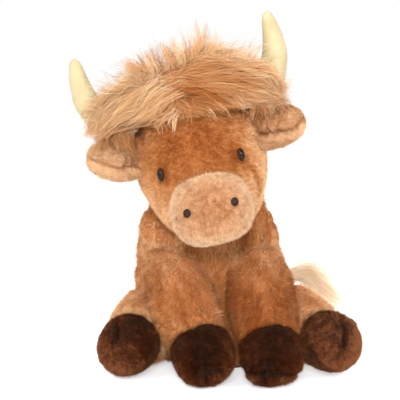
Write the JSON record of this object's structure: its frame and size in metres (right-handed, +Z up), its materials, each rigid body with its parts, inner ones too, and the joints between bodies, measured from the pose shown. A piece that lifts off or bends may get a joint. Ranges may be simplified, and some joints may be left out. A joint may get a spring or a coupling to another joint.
{
  "type": "plush cow",
  "caption": "Seated plush highland cow with long mane, curved felt horns, leaf ears, pale muzzle, cleft hooves and a tufted tail; head, ears, legs and tail flex at their seams.",
  "frame": {"origin": "middle of the flat seat panel under the body, on the floor", "axes": "+Z up, the cow faces -Y, +X towards the cow's left"},
  "size_m": [0.2288, 0.1931, 0.2847],
  "materials": {
    "brown_pile": "long soft pile",
    "muted_pile": "soft pile",
    "pale_pile": "short plush pile",
    "blond_hair": "long loose hair",
    "dark_pile": "short plush pile",
    "dark_felt": "felt",
    "horn_felt": "short plush felt",
    "eye_plastic": "high gloss",
    "washer_plastic": "moulded",
    "plain_cloth": "woven cloth"
  },
  "bodies": {
    "torso": {"body": "brown_pile", "seat_panel": "plain_cloth", "bean_bag": "plain_cloth"},
    "head": {"head": "brown_pile", "muzzle": "pale_pile", "eye_left": "eye_plastic", "eye_right": "eye_plastic", "eye_washer_left": "washer_plastic", "eye_washer_right": "washer_plastic", "nostril_left": "dark_felt", "nostril_right": "dark_felt", "horn_left": "horn_felt", "horn_right": "horn_felt", "mane": "blond_hair"},
    "ear_left": {"ear_left": "muted_pile", "ear_lining_left": "pale_pile"},
    "ear_right": {"ear_right": "muted_pile", "ear_lining_right": "pale_pile"},
    "front_leg_left": {"front_leg_left": "brown_pile", "front_hoof_left": "dark_pile"},
    "front_leg_right": {"front_leg_right": "brown_pile", "front_hoof_right": "dark_pile"},
    "hind_leg_left": {"hind_leg_left": "brown_pile", "hind_hoof_left": "dark_pile"},
    "hind_leg_right": {"hind_leg_right": "brown_pile", "hind_hoof_right": "dark_pile"},
    "tail": {"tail": "brown_pile", "tail_tuft": "blond_hair"}
  },
  "joints": [
    {"name": "head_tilt", "type": "hinge", "parent": "torso", "child": "head", "pos_m": [-0.006, -0.026, 0.122], "axis": [0, 1, 0], "range_deg": [-5, 19], "stiffness_Nm_per_rad": 0.3},
    {"name": "ear_left_flap", "type": "hinge", "parent": "head", "child": "ear_left", "pos_m": [0.02846, -0.076, 0.19136], "axis": [0.2419, 0, -0.9703], "range_deg": [-8, 20], "stiffness_Nm_per_rad": 0.01},
    {"name": "ear_right_flap", "type": "hinge", "parent": "head", "child": "ear_right", "pos_m": [-0.06081, -0.076, 0.1691], "axis": [-0.2419, 0, 0.9703], "range_deg": [-8, 20], "stiffness_Nm_per_rad": 0.01},
    {"name": "front_leg_left_lift", "type": "hinge", "parent": "torso", "child": "front_leg_left", "pos_m": [0.03, -0.036, 0.07987], "axis": [-1, 0, 0], "range_deg": [0, 20]},
    {"name": "front_leg_right_lift", "type": "hinge", "parent": "torso", "child": "front_leg_right", "pos_m": [-0.035, -0.036, 0.07987], "axis": [-1, 0, 0], "range_deg": [0, 20]},
    {"name": "hind_leg_left_splay", "type": "hinge", "parent": "torso", "child": "hind_leg_left", "pos_m": [0.046, 0.004, 0.038], "axis": [0, 0, 1], "range_deg": [0, 20]},
    {"name": "hind_leg_right_splay", "type": "hinge", "parent": "torso", "child": "hind_leg_right", "pos_m": [-0.046, 0.004, 0.038], "axis": [0, 0, -1], "range_deg": [0, 20]},
    {"name": "tail_swing", "type": "hinge", "parent": "torso", "child": "tail", "pos_m": [0.009, 0.052, 0.046], "axis": [0, 0, 1], "range_deg": [0, 60]}
  ]
}
